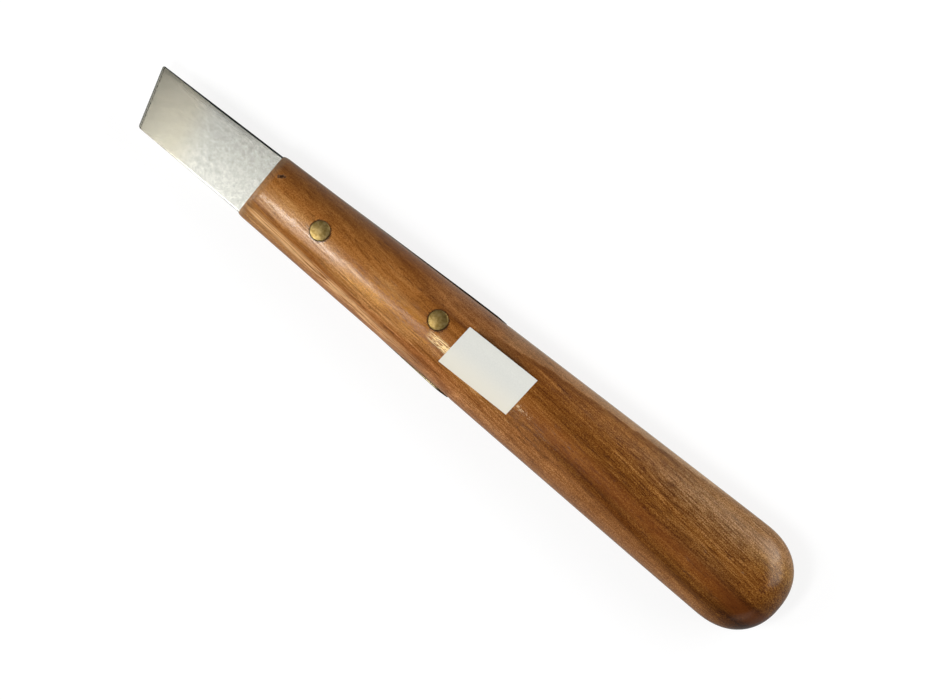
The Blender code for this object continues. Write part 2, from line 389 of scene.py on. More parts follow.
def tang_station(back):
    long_half = tang_edge(back, LONG_SIDE_PROUD_FROM, LONG_SIDE_PROUD)
    short_half = tang_edge(back, SHORT_SIDE_PROUD_FROM, SHORT_SIDE_PROUD)
    return back, 0.0, long_half, short_half, BLADE_THICKNESS / 2


def blade_skin(station, turn):
    """A point of the bar's section, whose long corners are dulled."""
    back, lean, long_half, short_half, half_thickness = station
    arris = min(ARRIS, half_thickness / 2)
    half_width = long_half if math.cos(turn) > 0 else short_half
    across = sign(math.cos(turn)) * (half_width - arris) + arris * math.cos(turn)
    up = sign(math.sin(turn)) * (half_thickness - arris) + arris * math.sin(turn)
    return knife_point(back - across * lean, across, up)


def make_blade(finish):
    behind_edge = [TIP_CORNER_RADIUS * (step / TIP_STEPS) ** 2 for step in range(TIP_STEPS + 1)]
    behind_edge.append(HONED_LENGTH)
    for share in [FIRST_GRIND_SHARE] + [step / GRIND_STEPS for step in range(1, GRIND_STEPS + 1)]:
        behind_edge.append(HONED_LENGTH + (GRIND_LENGTH - HONED_LENGTH) * share)
    stations = [ground_station(distance) for distance in behind_edge]
    end_corner = TANG_LENGTH - TANG_CORNER_RADIUS
    backs = [0.0] + front_edge_stations(TANG_END_STEPS)
    backs += evenly(FRONT_SET_BACK + FRONT_EDGE_DEPTH, end_corner, TANG_STEPS)
    for step in range(TANG_END_STEPS + 1):
        backs.append(end_corner + TANG_CORNER_RADIUS * math.sin(math.pi / 2 * step / TANG_END_STEPS))
    stations += [tang_station(back) for back in backs]
    shape, _ = drawn_out(stations, BLADE_SEGMENTS, blade_skin)
    bmesh.ops.holes_fill(shape, edges=[edge for edge in shape.edges if edge.is_boundary], sides=0)
    blade = new_piece("steel_blade", shape, finish)
    carve(blade, [rivet_hole(back, across) for _, back, across in RIVETS])
    settle(blade, BLADE_CREASE, "blade")


def head_profile(back, across):
    """From the top of the dome to the under edge of the rim."""
    top = handle_top(back, across)
    dome_radius = (RIVET_HEAD_RADIUS**2 + RIVET_CROWN**2) / (2 * RIVET_CROWN)
    dome_reach = math.asin((RIVET_HEAD_RADIUS - RIVET_RIM_ROUNDING) / dome_radius)
    profile = []
    for step in range(DOME_STEPS + 1):
        angle = dome_reach * step / DOME_STEPS
        profile.append((dome_radius * math.sin(angle), top - dome_radius * (1.0 - math.cos(angle))))
    shoulder = profile[-1][1] - RIVET_RIM_ROUNDING
    for step in range(1, RIM_STEPS + 1):
        angle = dome_reach + (math.pi / 2 - dome_reach) * step / RIM_STEPS
        out = RIVET_HEAD_RADIUS - RIVET_RIM_ROUNDING * (1.0 - math.sin(angle))
        profile.append((out, shoulder + RIVET_RIM_ROUNDING * math.cos(angle)))
    profile.append((RIVET_HEAD_RADIUS, head_seat(back, across)))
    return profile


def rivet_tube_profile(back, across):
    seat = head_seat(back, across)
    roof = seat - RIVET_BORE_ROOF
    mouth = RIVET_TUBE_TIP_ROOM - seat
    shank = [(RIVET_TUBE_RADIUS, seat), (RIVET_TUBE_RADIUS, mouth)]
    bore = [(RIVET_BORE_RADIUS, mouth), (RIVET_BORE_RADIUS, roof), (0.0, roof)]
    return head_profile(back, across) + shank + bore


def rivet_post_profile(back, across):
    seat = head_seat(back, across)
    tip = seat - RIVET_BORE_ROOF - RIVET_POST_TIP_ROOM
    head = [(radius, -up) for radius, up in head_profile(back, across)]
    return head + [(RIVET_POST_RADIUS, -seat), (RIVET_POST_RADIUS, tip), (0.0, tip)]


def make_rivets(finish):
    halves = (("_tube", rivet_tube_profile), ("_post", rivet_post_profile))
    for name, back, across in RIVETS:
        for half, profile in halves:
            shape = turned(profile(back, across), back, across)
            rivet = new_piece("brass_" + name + half, shape, finish)
            settle(rivet, ROUND_CREASE, name + half)


def make_sticker(finish):
    shape = bmesh.new()
    bmesh.ops.create_grid(shape, x_segments=STICKER_STEPS[0], y_segments=STICKER_STEPS[1], size=0.5)
    for corner in shape.verts:
        along = corner.co.x * STICKER_LENGTH
        aside = corner.co.y * STICKER_WIDTH
        along += STICKER_SHEAR * aside
        back = STICKER_BACK + along * math.cos(STICKER_TURN) - aside * math.sin(STICKER_TURN)
        across = STICKER_ACROSS + along * math.sin(STICKER_TURN) + aside * math.cos(STICKER_TURN)
        curled = max(aside - STICKER_WIDTH / 2 + STICKER_CURL_WIDTH, 0.0) / STICKER_CURL_WIDTH
        lift = STICKER_LIFT + STICKER_CURL * curled**2
        corner.co = knife_point(back, across, handle_top(back, across) + lift)
    for face in shape.faces:
        if face.normal.z < 0:
            face.normal_flip()
    paper = list(shape.faces)
    bmesh.ops.solidify(shape, geom=paper, thickness=STICKER_THICKNESS)
    sticker = new_piece("paper_sticker", shape, finish)
    shade(sticker, ROUND_CREASE)
    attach(sticker, "root")


class Value:
    """A socket in a material, which plain arithmetic can use."""

    def __init__(self, finish, socket):
        self.finish = finish
        self.socket = socket

    def reckon(self, operation, first, second):
        inputs = {"Value": first, "Value_001": second}
        return self.finish.node("ShaderNodeMath", {"operation": operation}, inputs)

    def __add__(self, other):
        return self.reckon("ADD", self, other)

    __radd__ = __add__

    def __mul__(self, other):
        return self.reckon("MULTIPLY", self, other)

    __rmul__ = __mul__

    def __sub__(self, other):
        return self.reckon("SUBTRACT", self, other)

    def __rsub__(self, other):
        return self.reckon("SUBTRACT", other, self)


class Finish:
    """A material, or the world, being put together from nodes."""

    def __init__(self, owner):
        owner.use_nodes = True
        self.owner = owner
        self.tree = owner.node_tree
        self.tree.nodes.clear()

    def node(self, kind, settings=None, inputs=None, output=0):
        """Adds a node, sets it up, fills its sockets and gives the named or numbered output."""
        added = self.tree.nodes.new(kind)
        for name, setting in (settings or {}).items():
            if name == "stops":
                set_stops(added.color_ramp, setting)
            else:
                setattr(added, name, setting)
        sockets = {socket.identifier: socket for socket in added.inputs}
        for name, value in (inputs or {}).items():
            if isinstance(value, Value):
                self.tree.links.new(value.socket, sockets[name])
            else:
                sockets[name].default_value = value
        outputs = {socket.identifier: socket for socket in added.outputs}
        if not outputs:
            return None
        return Value(self, outputs[output] if output in outputs else added.outputs[output])

    def stretched(self, vector, factors):
        inputs = {"Vector": vector, "Vector_001": factors}
        return self.node("ShaderNodeVectorMath", {"operation": "MULTIPLY"}, inputs)

    def parted(self, vector):
        return [self.node("ShaderNodeSeparateXYZ", None, {"Vector": vector}, axis) for axis in "XYZ"]

    def joined(self, x, y, z=0.0):
        return self.node("ShaderNodeCombineXYZ", None, {"X": x, "Y": y, "Z": z})

    def noise(self, vector, detail, roughness=0.5):
        inputs = {"Vector": vector, "Scale": 1.0, "Detail": detail, "Roughness": roughness}
        return self.node("ShaderNodeTexNoise", {"noise_dimensions": "3D"}, inputs)

    def between(self, value, low, high):
        """Rises smoothly from 0 at low to 1 at high."""
        inputs = {"Value": value, "From Min": low, "From Max": high}
        return self.node("ShaderNodeMapRange", {"interpolation_type": "SMOOTHSTEP"}, inputs)

    def size(self, value):
        return self.node("ShaderNodeMath", {"operation": "ABSOLUTE"}, {"Value": value})

    def stripe(self, off, inner, outer):
        """1 within inner of a line, falling smoothly to 0 at outer."""
        return 1.0 - self.between(self.size(off), inner, outer)

    def larger(self, first, second):
        inputs = {"Value": first, "Value_001": second}
        return self.node("ShaderNodeMath", {"operation": "MAXIMUM"}, inputs)

    def distance(self, x, y):
        inputs = {"Vector": self.joined(x, y)}
        return self.node("ShaderNodeVectorMath", {"operation": "LENGTH"}, inputs, "Value")

    def mixed(self, share, first, second, blend="MIX"):
        settings = {"data_type": "RGBA", "blend_type": blend}
        inputs = {"Factor_Float": share, "A_Color": first, "B_Color": second}
        return self.node("ShaderNodeMix", settings, inputs, "Result_Color")

    def bump(self, height, distance, strength):
        inputs = {"Height": height, "Distance": distance, "Strength": strength}
        return self.node("ShaderNodeBump", None, inputs)

    def surface(self, inputs):
        shader = self.node("ShaderNodeBsdfPrincipled", None, inputs)
        self.node("ShaderNodeOutputMaterial", None, {"Surface": shader})


def set_stops(ramp, stops):
    while len(ramp.elements) < len(stops):
        ramp.elements.new(0.5)
    for element, (place, colour) in zip(ramp.elements, stops):
        element.position = place
        element.color = colour


def srgb(red, green, blue):
    """A colour as seen on a screen, in 0 to 255, as the linear colour that shaders take."""
    shares = [part / 255 for part in (red, green, blue)]
    linear = [part / 12.92 if part <= 0.04045 else ((part + 0.055) / 1.055) ** 2.4 for part in shares]
    return (*linear, 1.0)


def grey(level):
    return (level, level, level, 1.0)


def knife_millimetres(finish):
    """Object coordinates in millimetres, as one vector and as its three parts."""
    coordinates = finish.node("ShaderNodeTexCoord", None, None, "Object")
    scaled = finish.stretched(coordinates, (1000.0, 1000.0, 1000.0))
    return scaled, finish.parted(scaled)


class Hardwood(Finish):
    """The handle's wood: the places on it, in millimetres, and the patterns of its grain."""

    def __init__(self, owner):
        super().__init__(owner)
        self.place, (along, self.across, up) = knife_millimetres(self)
        self.back = along - 1000.0 * HANDLE_FRONT
        self.depth = 1000.0 * (MIDDLE_HEIGHT + HANDLE_THICKNESS / 2) - up
        self.upper_face = 1.0 - self.between(self.depth, 5.0, 8.0)
        self.to_rear = self.run(50.0, 110.0)

        # The grain runs a few degrees off the handle's axis and wanders slowly.
        wander = self.noise(self.stretched(self.place, (0.016, 0.05, 0.05)), 2.0)
        slanted = self.across + self.back * math.tan(GRAIN_ANGLE) + (wander - 0.5) * 5.0
        self.grain = self.joined(along, slanted, up)

        # Growth rings, from broad bands down to fibres and specks
        ring = slanted - self.depth * 0.36
        self.broad = self.noise(self.joined(along * 0.006, ring * 0.24), 2.0)
        self.fine = self.noise(self.joined(along * 0.018, ring * 0.95), 3.0, 0.6)
        self.mottle = self.grained(0.06, 0.5, 4.0, 0.6)
        self.vein = self.grained(0.05, 0.8, 1.0)
        self.fibre = self.grained(0.08, 2.4, 4.0, 0.7)
        self.dash = self.grained(0.26, 3.2, 2.0)
        self.speck = self.grained(4.0, 5.0, 1.0)
        self.fibre_shade = self.shades(self.fibre, 0.34, (0.75, 0.66, 0.48, 1.0), (1.25, 1.34, 1.52, 1.0))
        self.speck_shade = self.shades(self.speck, 0.34, (0.55, 0.4, 0.2, 1.0), (1.45, 1.6, 1.8, 1.0))

        # How strongly the grain shows: least on the front's upper half
        self.middle = self.run(46.0, 58.0, 84.0, 96.0)
        front_low = (1.0 - self.to_rear) * (1.0 - self.between(self.across, -5.0, -2.0))
        self.lively = 0.22 + self.to_rear * 0.63 + front_low * 0.9 + self.middle * 0.2

        # A lighter stretch on the long side, painted shade low at the butt's end and the coarsest grain
        self.light_side = self.run(38.0, 52.0, 96.0, 112.0) * self.between(self.across, 3.0, 6.0)
        self.butt_end_shade = self.run(132.0, 146.0) * self.stripe(self.across + 6.8, 0.8, 4.6)
        self.coarse = self.run(84.0, 104.0) * self.stripe(self.across - 3.0, 2.5, 5.5)

    def run(self, start, full, fade=None, gone=None):
        """A part of the handle's length: 1 from full to fade, and 0 before start and after gone."""
        share = self.between(self.back, start, full)
        if gone is not None:
            share = share * (1.0 - self.between(self.back, fade, gone))
        return share

    def grained(self, along, across, detail, roughness=0.5):
        """Noise drawn out along the grain, with so many features to the millimetre."""
        return self.noise(self.stretched(self.grain, (along, across, across)), detail, roughness)

    def shades(self, pattern, low, first, second):
        """Colours to multiply by: the first where the pattern is low, the second where it is high."""
        return self.mixed(self.between(pattern, low, 1.0 - low), first, second)


def wood_ground(wood):
    """The wood's tones, with the paler and darker patches that the grain brings to the face, and painted
    shade and painted sheen.
    """
    across, back = wood.across, wood.back
    faded = wood.between(back + across * 2.0, 30.0, 100.0)
    sheen_band = wood.run(0.0, 10.0, 38.0, 52.0) * wood.stripe(across + 0.6 + back * 0.09, 0.8, 3.6)
    crest_sheen = wood.run(30.0, 38.0, 46.0, 52.0) * wood.stripe(across - 0.2, 1.0, 2.6)
    dim = wood.run(40.0, 47.0, 58.0, 66.0) * wood.stripe(across - 2.6, 1.4, 3.0)
    low = wood.run(44.0, 52.0, 57.0, 66.0) * (1.0 - wood.between(across, -6.0, -3.5))
    off_gap = across + 4.4 + back * 0.05 - (1.0 - wood.run(0.0, 10.0)) * 0.5
    gap = wood.run(0.0, 3.0, 22.0, 30.0) * wood.stripe(off_gap, 0.3, 1.1)
    # Painted shade: the tone falls towards the long side at the front, towards the short side at the rear,
    # and low at the butt's end. Painted sheen: paler along the highlight and on the crest between the
    # rivets.
    tone = wood.broad * 0.34 + (wood.fine - 0.5) * wood.lively * 0.34 + wood.mottle * 0.22 + 0.298
    tone = tone - faded * 0.12 - across * (0.014 - wood.to_rear * 0.016) - wood.butt_end_shade * 0.19
    tone = tone + sheen_band * 0.11 + wood.light_side * 0.035 + crest_sheen * 0.035 + wood.run(108.0, 130.0) * 0.03
    tone = tone - dim * 0.06 - low * 0.07 - gap * 0.055
    stops = [
        (0.30, srgb(81, 41, 10)),
        (0.42, srgb(119, 69, 23)),
        (0.54, srgb(150, 95, 43)),
        (0.68, srgb(181, 129, 73)),
    ]
    return wood.node("ShaderNodeValToRGB", {"stops": stops}, {"Fac": tone})


def wood_tints(wood, colour):
    """Tints of the wood, before its fine figure."""
    across = wood.across

    # Darker to the rear, painted shade on the front's upper side, a khaki tint above at the rear that is
    # partly painted sheen, and painted shade, nearly black, low at the butt
    colour = wood.mixed(wood.to_rear, colour, (0.72, 0.72, 0.63, 1.0), "MULTIPLY")
    front_upper_shade = wood.between(across, 1.0, 8.0) * (1.0 - wood.run(18.0, 50.0))
    colour = wood.mixed(front_upper_shade, colour, srgb(204, 206, 208), "MULTIPLY")
    khaki_sheen = wood.run(98.0, 124.0) * wood.between(across, 1.0, 7.5)
    colour = wood.mixed(khaki_sheen * 0.42, colour, srgb(160, 124, 82))
    colour = wood.mixed(wood.butt_end_shade * 0.42, colour, srgb(44, 20, 6))
    olive = wood.run(112.0, 126.0, 132.0, 142.0) * wood.stripe(across, 3.0, 6.0)
    colour = wood.mixed(olive * 0.08, colour, srgb(150, 114, 74))
    light_side = wood.light_side * (1.0 - wood.run(60.0, 76.0))
    colour = wood.mixed(light_side * 0.18, colour, srgb(160, 120, 86))

    # Tints between golden and red
    tawny = wood.run(134.0, 142.0) * wood.stripe(across - 5.5, 1.5, 4.0)
    colour = wood.mixed(tawny, colour, (1.03, 0.98, 0.68, 1.0), "MULTIPLY")
    ruddy = (1.0 - wood.run(58.0, 72.0) * 0.5 - wood.run(86.0, 100.0) * 0.5) * wood.run(3.0, 14.0)
    ruddy = ruddy * (1.0 - wood.between(across, -4.0, 1.0))
    colour = wood.mixed(ruddy, colour, (0.93, 0.85, 0.79, 1.0), "MULTIPLY")
    amber = wood.run(22.0, 32.0, 51.0, 54.0) * wood.stripe(across + 2.4, 1.0, 3.0)
    colour = wood.mixed(amber, colour, (1.04, 0.94, 0.36, 1.0), "MULTIPLY")
    # Painted sheen: paler bands below the highlight.
    pale = wood.run(16.0, 30.0, 36.0, 42.0) * wood.stripe(across + 3.8, 0.6, 1.4)
    pale = pale + wood.run(38.0, 41.0, 48.0, 51.0) * wood.stripe(across + 5.0, 0.4, 1.2) * 0.5
    colour = wood.mixed(pale, colour, (1.25, 1.36, 1.6, 1.0), "MULTIPLY")
    rosy = wood.run(14.0, 26.0, 110.0, 126.0) * (1.0 - wood.between(across, -7.0, -5.5))
    colour = wood.mixed(rosy, colour, (1.0, 0.9, 0.9, 1.0), "MULTIPLY")
    # Painted shade on the butt's rounded end.
    return wood.mixed(wood.run(144.0, 149.0), colour, (0.87, 0.9, 0.88, 1.0), "MULTIPLY")


def wood_figure(wood, colour):
    """Fibres, specks, veins and dashes along the grain."""
    across = wood.across
    colour = wood.mixed(wood.lively, colour, wood.fibre_shade, "MULTIPLY")
    colour = wood.mixed(0.55 + wood.to_rear * 0.4, colour, wood.speck_shade, "MULTIPLY")
    vein_shade = wood.shades(wood.vein, 0.36, (0.8, 0.74, 0.62, 1.0), (1.2, 1.26, 1.38, 1.0))
    front_low = (1.0 - wood.run(40.0, 56.0)) * (1.0 - wood.between(across, -4.5, -2.0))
    veined = wood.middle * (0.7 - wood.between(across, -3.0, 0.0) * 0.6) + front_low * 0.55
    colour = wood.mixed(veined, colour, vein_shade, "MULTIPLY")
    dash_shade = wood.shades(wood.dash, 0.38, (1.24, 1.32, 1.5, 1.0), (0.76, 0.68, 0.5, 1.0))
    dashed = 0.28 + wood.to_rear * 0.2 + wood.coarse * 0.35
    return wood.mixed(dashed, colour, dash_shade, "MULTIPLY")


def front_streak(wood, colour):
    """A greyer tint at the rounded front edge, and a pale golden streak low behind it."""
    colour = wood.mixed(0.24 - wood.run(0.9, 2.4) * 0.24, colour, srgb(128, 122, 104))
    off = wood.across - wood.depth * 0.2 + 6.35 + (wood.back - 2.0) * 0.073 + (wood.fine - 0.5) * 1.5
    streak = wood.stripe(off, 0.5, 1.5) * wood.run(0.5, 5.0, 30.0, 64.0)
    strand = wood.between(wood.grained(0.06, 4.0, 2.0), 0.42, 0.54)
    return wood.mixed(streak * (strand * 0.72 + 0.02), colour, srgb(250, 200, 142))


def glints(wood, colour):
    """Golden glints painted into the wood before the sticker, and a few painted golden glinting dots
    behind it.
    """
    across, back = wood.across, wood.back
    glint = wood.run(50.0, 52.5, 58.0, 60.0) * wood.stripe(across + 2.3 + (back - 54.0) * 0.05, 0.6, 1.3)
    spark = wood.noise(wood.stretched(wood.place, (0.5, 4.6, 4.6)), 2.0, 0.6)
    sparkling = glint * wood.upper_face * wood.between(spark, 0.44, 0.54)
    colour = wood.mixed(sparkling * 0.95, colour, srgb(255, 222, 158))
    dots = wood.run(75.6, 76.6, 79.6, 81.0) * wood.stripe(across + 2.3 + (back - 78.0) * 0.12, 0.25, 0.75)
    dot = wood.noise(wood.stretched(wood.place, (2.2, 3.0, 3.0)), 2.0, 0.6)
    dotted = dots * wood.upper_face * wood.between(dot, 0.52, 0.6)
    return wood.mixed(dotted * 0.8, colour, srgb(236, 200, 150))


def edge_wear_and_sheen(wood, colour):
    """A paler band along the long side's edge at the rear, partly wear and partly painted sheen, with a
    darker line inside it.
    """
    ragged = wood.noise(wood.stretched(wood.place, (0.4, 0.4, 0.4)), 2.0)
    past = wood.across - 9.55 - (wood.back - 88.0) * 0.064 + (1.0 - wood.run(66.0, 78.0)) * 0.9
    past = past + (wood.fibre - 0.5) * 0.5 + (ragged - 0.5) * 0.9
    ending = 1.0 - wood.run(118.0, 132.0)
    wear_and_sheen = wood.run(60.0, 68.0) * 0.5 + wood.run(76.0, 104.0) * 0.5
    wear_and_sheen = wear_and_sheen * wood.between(past, -0.3, 0.25) * ending
    rim = wood.between(past, -1.5, -0.7) * (1.0 - wood.between(past, -0.35, 0.05)) * ending
    rim = rim * wood.run(60.0, 68.0) * (0.4 - wood.run(86.0, 104.0) * 0.2)
    colour = wood.mixed(wear_and_sheen * 0.44, colour, srgb(186, 150, 110))
    colour = wood.mixed(wear_and_sheen * 0.4, colour, wood.speck_shade, "MULTIPLY")
    return wood.mixed(rim, colour, srgb(70, 36, 12))


def rear_growth_lines(wood, colour):
    """A reddish zone at the rear, with dark growth lines along it and paler wood below them."""
    across, back, depth = wood.across, wood.back, wood.depth
    red = wood.stripe(across - depth * 0.36 + 1.5 + (back - 80.0) * 0.08, 0.6, 3.4) * wood.run(66.0, 90.0)
    colour = wood.mixed(red * 0.32, colour, srgb(140, 74, 26))
    past = across - depth * 0.3 + 4.2 + (back - 87.0) * 0.11 + (wood.fine - 0.5) * 1.8
    below = (1.0 - wood.between(past, -3.2, -0.6)) * wood.run(60.0, 90.0, 134.0, 148.0)
    colour = wood.mixed(below * 0.55, colour, srgb(172, 116, 68))
    figure = wood.mixed(1.0, wood.fibre_shade, wood.speck_shade, "MULTIPLY")
    colour = wood.mixed(below * 0.5, colour, figure, "MULTIPLY")
    line = wood.stripe(past, 0.05, 0.5) * wood.run(80.0, 96.0, 126.0, 142.0)
    second = wood.stripe(past - 1.3, 0.05, 0.35) * wood.run(84.0, 104.0)
    return wood.mixed(line * 0.42 + second * 0.25, colour, srgb(70, 32, 8))


def wood_pores(wood):
    """Dark grain lines broken into dashes, in patches, and short pores everywhere."""
    patch = wood.between(wood.grained(0.025, 0.14, 2.0), 0.38, 0.62)
    dashes = wood.between(wood.grained(0.2, 1.2, 2.0), 0.44, 0.6)
    lines = wood.stripe(wood.grained(0.03, 0.55, 4.0, 0.65) - 0.5, 0.004, 0.024)
    short = wood.between(wood.dash + wood.coarse * 0.05, 0.6, 0.7)
    return wood.larger(lines * dashes * patch, short * 0.7)


def painted_shade_on_wood(wood, colour):
    """Shade painted in the gaps around the rivet heads, and shade painted along the sticker's lifted side.
    """
    shade_colour = srgb(48, 26, 10)
    for _, rivet_back, rivet_across in RIVETS:
        ahead = wood.back - (1000.0 * rivet_back + 0.12)
        aside = wood.across - (1000.0 * rivet_across - 0.06)
        off = wood.distance(ahead, aside) + (wood.speck - 0.5) * 1.2
        colour = wood.mixed(0.8 - wood.between(off, 2.35, 2.8) * 0.8, colour, shade_colour)
    sticker_side = 1000.0 * (STICKER_ACROSS + STICKER_WIDTH / 2)
    beside = wood.across - sticker_side - (wood.back - 1000.0 * STICKER_BACK) * 0.014
    close = 1.0 - wood.between(beside, 0.2, 0.9)
    shaded = wood.between(beside, -1.0, -0.5) * (1.0 - wood.between(beside, 0.4, 2.4))
    shaded = shaded * wood.run(57.5, 60.0, 70.0, 77.0) * wood.upper_face
    return wood.mixed(shaded * (0.4 + close * 0.35), colour, shade_colour)


def front_dent(wood):
    """A small ragged dent near the front, which lies slantwise."""
    behind = wood.back - 3.0
    aside = wood.across - 4.3
    lengthwise = behind * 0.78 + aside * 0.62
    crosswise = behind * 0.62 - aside * 0.78
    off = lengthwise * lengthwise * 0.9 + crosswise * crosswise * 7.0 + (wood.speck - 0.5) * 3.4
    return (1.0 - wood.between(off, 0.2, 1.5)) * wood.upper_face


def lacquered_hardwood():
    wood = Hardwood(bpy.data.materials.new("lacquered_hardwood"))
    pores = wood_pores(wood)
    dent = front_dent(wood)
    colour = wood_tints(wood, wood_ground(wood))
    colour = wood_figure(wood, colour)
    colour = glints(wood, front_streak(wood, colour))
    colour = rear_growth_lines(wood, edge_wear_and_sheen(wood, colour))
    colour = wood.mixed(pores * 0.62, colour, srgb(56, 26, 8))
    colour = painted_shade_on_wood(wood, colour)
    colour = wood.mixed(dent * 0.9, colour, srgb(34, 18, 6))

    # The lacquer is thinner between the rivets, on the rear's upper side and on dry fibres at the front.
    dry = (1.0 - wood.between(wood.fibre, 0.38, 0.5)) * (1.0 - wood.between(wood.across, 0.0, 3.0))
    dry = dry * (1.0 - wood.run(36.0, 50.0))
    rear_upper = wood.to_rear * wood.between(wood.across, 0.0, 5.0)
    roughness = 0.18 - wood.run(3.0, 12.0) * 0.04 + wood.run(24.0, 36.0, 50.0, 56.0) * 0.03
    height = wood.fibre * 0.5 + wood.speck * 0.3 - pores * 0.35 - dent * 2.0
    wood.surface(
        {
            "Base Color": colour,
            "Roughness": roughness + rear_upper * 0.1 + dry * 0.22,
            "Specular IOR Level": 0.35,
            "Specular Tint": (1.0, 0.95, 0.86, 1.0),
            "Normal": wood.bump(height, 0.00004, 0.8),
        }
    )
    return wood.owner


class Steel(Finish):
    """The blade's steel: the places on it, in millimetres, and the patterns of its face."""

    def __init__(self, owner):
        super().__init__(owner)
        place, (along, self.across, _) = knife_millimetres(self)
        self.back = along - 1000.0 * HANDLE_FRONT
        lean = math.tan(SKEW_ANGLE)
        set_back = 1000.0 * (BLADE_REACH - (handle_half_width(0.0) - LONG_EDGE_TAPER) * lean)
        self.behind_edge = (self.back + self.across * lean + set_back) * math.cos(SKEW_ANGLE)
        self.cloud = self.noise(self.stretched(place, (0.3, 0.3, 0.3)), 4.0, 0.6)
        self.stain = self.noise(self.stretched(place, (0.9, 0.9, 0.9)), 4.0, 0.6)
        self.speck = self.noise(self.stretched(place, (2.2, 2.2, 2.2)), 3.0, 0.7)
        self.grit = self.noise(self.stretched(place, (3.2, 3.2, 3.2)), 3.0, 0.7)
        self.lines = self.noise(self.stretched(place, (0.25, 9.0, 9.0)), 3.0, 0.7)

        # The lower edge of the tang, which is duller than its upper one and, like it, painted dark as
        # shade
        root = 1000.0 * handle_half_width(0.0)
        self.under = self.between(0.0 - self.across, root - 0.2, root) * self.between(self.back, 0.0, 0.5)


def steel_face(steel):
    """Warmer where the bevel is ground, behind the slanted cutting edge, and stained and specked."""
    plain = steel.between(steel.behind_edge, 8.0, 17.0)
    colour = steel.mixed(plain, srgb(223, 217, 196), srgb(232, 232, 223))
    colour = steel.mixed(steel.between(steel.cloud, 0.3, 0.7) * 0.15, colour, srgb(196, 193, 180))
    stained = steel.between(steel.stain, 0.3, 0.7) * (plain * 0.2 + 0.12)
    colour = steel.mixed(stained, colour, srgb(176, 176, 166))
    specked = steel.between(steel.speck, 0.55, 0.72) * (plain * 0.2 + 0.06)
    colour = steel.mixed(specked, colour, srgb(140, 136, 122))
    gritty = steel.between(steel.grit, 0.42, 0.7) * (plain * 0.3 + 0.15)
    colour = steel.mixed(gritty, colour, srgb(156, 156, 146))
    return steel.mixed(steel.between(steel.lines, 0.55, 0.75) * 0.2, colour, srgb(226, 224, 214))


def steel_edge_shade(steel, colour):
    """The long edge and the edges of the tang are painted dark, as painted shade."""
    across, back = steel.across, steel.back
    root = 1000.0 * handle_half_width(0.0)
    past_edge = across - back * (LONG_EDGE_TAPER / BLADE_REACH) - root
    # Painted shade: a grey band just inside the long edge, and a dark line on the edge itself
    edge_shade = steel.between(past_edge, -1.9, -0.5) * (1.0 - steel.between(back, -10.0, -3.0))
    colour = steel.mixed(edge_shade * 0.36, colour, srgb(100, 100, 94))
    reach = steel.between(back, -34.0, -16.0) * 0.2
    dark = steel.between(past_edge + reach, -0.28, -0.16) * (1.0 - steel.between(back, 0.2, 0.7))
    tang = steel.between(across, root - 0.2, root) * steel.between(back, 0.0, 0.5)
    colour = steel.mixed(dark + tang, colour, srgb(30, 30, 29))
    colour = steel.mixed(steel.under, colour, srgb(40, 34, 24))

    # A painted glint on a stretch of the tang's lower edge, and the honed strip painted dark as shade
    outline = 9.93 + (back - 45.0) * 0.0327
    bright = steel.between(0.0 - across - outline, 0.0, 0.12) * steel.between(back, 30.0, 44.0)
    colour = steel.mixed(bright * (1.0 - steel.between(back, 58.5, 60.5)), colour, srgb(214, 196, 150))
    honed = 1.0 - steel.between(steel.behind_edge, 0.3, 0.5)
    return steel.mixed(honed, colour, srgb(58, 58, 54))


def ground_steel():
    steel = Steel(bpy.data.materials.new("ground_steel"))
    worked = (steel.cloud - 0.5) * 0.04 + (steel.lines - 0.5) * 0.05
    height = steel.lines * 0.6 + steel.speck * 0.4
    steel.surface(
        {
            "Base Color": steel_edge_shade(steel, steel_face(steel)),
            "Metallic": 1.0,
            "Roughness": 0.16 + worked + steel.under * 0.2,
            "Normal": steel.bump(height, 0.00001, 0.4),
        }
    )
    return steel.owner


def sanded_brass():
    brass = Finish(bpy.data.materials.new("sanded_brass"))
    place, (along, _, _) = knife_millimetres(brass)
    lines = brass.noise(brass.stretched(place, (7.0, 1.2, 1.0)), 3.0, 0.7)
    cloud = brass.noise(brass.stretched(place, (1.4, 1.4, 1.4)), 4.0, 0.7)
    colour = brass.mixed(brass.between(cloud, 0.35, 0.65), srgb(134, 110, 58), srgb(174, 149, 96))
    dulled = brass.between(along - 1000.0 * HANDLE_FRONT, 30.0, 45.0)
    colour = brass.mixed(dulled * 0.3, colour, srgb(104, 82, 36))
    brass.surface(
        {
            "Base Color": colour,
            "Metallic": 1.0,
            "Roughness": 0.4 + (lines - 0.5) * 0.3,
            "Normal": brass.bump(lines, 0.00002, 0.5),
        }
    )
    return brass.owner


def white_paper():
    paper = Finish(bpy.data.materials.new("white_paper"))
    place, (_, across, _) = knife_millimetres(paper)
    pulp = paper.noise(paper.stretched(place, (3.0, 3.0, 3.0)), 4.0, 0.7)
    colour = paper.mixed(paper.between(pulp, 0.3, 0.7), srgb(213, 213, 206), srgb(219, 219, 212))
    # Painted light: the paper is paler on its side towards the short edge, which faces the window softbox.
    colour = paper.mixed(1.0 - paper.between(across, -5.4, 1.5), colour, srgb(233, 228, 213))
    paper.surface(
        {
            "Base Color": colour,
            "Roughness": 0.6,
            "Normal": paper.bump(pulp, 0.00001, 0.2),
        }
    )
    return paper.owner


def seen_directly(finish):
    """1 where the camera, a reflection or a clear body looks, and 0 for light that is only scattered."""
    rays = finish.node("ShaderNodeLightPath", None, None, "Is Camera Ray")
    for kind in ("Is Glossy Ray", "Is Transmission Ray"):
        rays = finish.larger(rays, finish.node("ShaderNodeLightPath", None, None, kind))
    return rays


